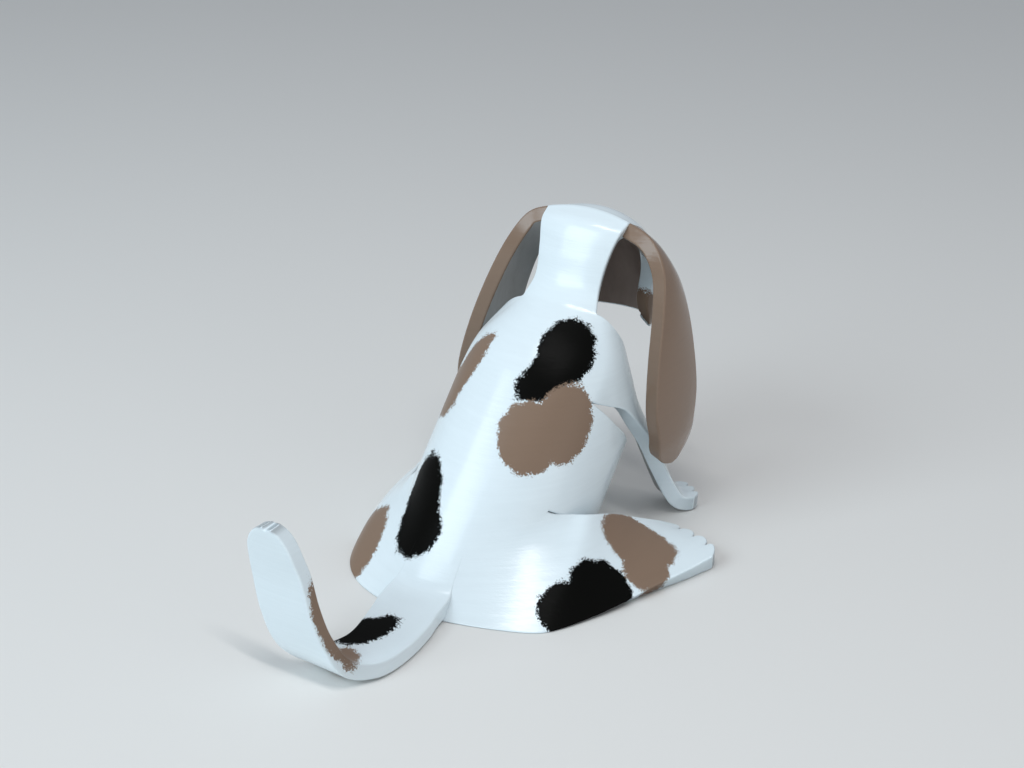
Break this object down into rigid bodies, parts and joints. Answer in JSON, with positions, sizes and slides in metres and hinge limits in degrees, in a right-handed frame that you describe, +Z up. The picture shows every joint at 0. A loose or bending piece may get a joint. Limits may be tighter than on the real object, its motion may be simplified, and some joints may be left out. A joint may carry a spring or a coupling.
{
  "type": "seated dog figure",
  "caption": "Seated long-eared dog figure, heat-formed from thick-walled plastic pipe, with splayed hind legs, a curled strip tail and hand-painted black and brown patches.",
  "frame": {"origin": "on the table, on the midline, in the middle of the wall at the front of the pipe's lower end, which the figure stands on", "axes": "+Z up, the dog faces -Y and its right side is -X"},
  "size_m": [0.1732, 0.2769, 0.1494],
  "materials": {
    "white_paint": "brushed gloss white paint with ragged black and brown patches",
    "brown_paint": "brushed satin taupe brown paint, raw dark grey on the inside",
    "black_gloss": "gloss black"
  },
  "bodies": {
    "root": {"back_panel": "white_paint", "neck": "white_paint", "face_panel": "white_paint", "belly_panel": "white_paint", "right_front_leg": "white_paint", "left_front_leg": "white_paint", "right_hind_leg": "white_paint", "left_hind_leg": "white_paint", "tail": "white_paint", "right_ear": "brown_paint", "left_ear": "brown_paint", "nose": "black_gloss", "right_eye": "black_gloss", "left_eye": "black_gloss"}
  },
  "joints": []
}
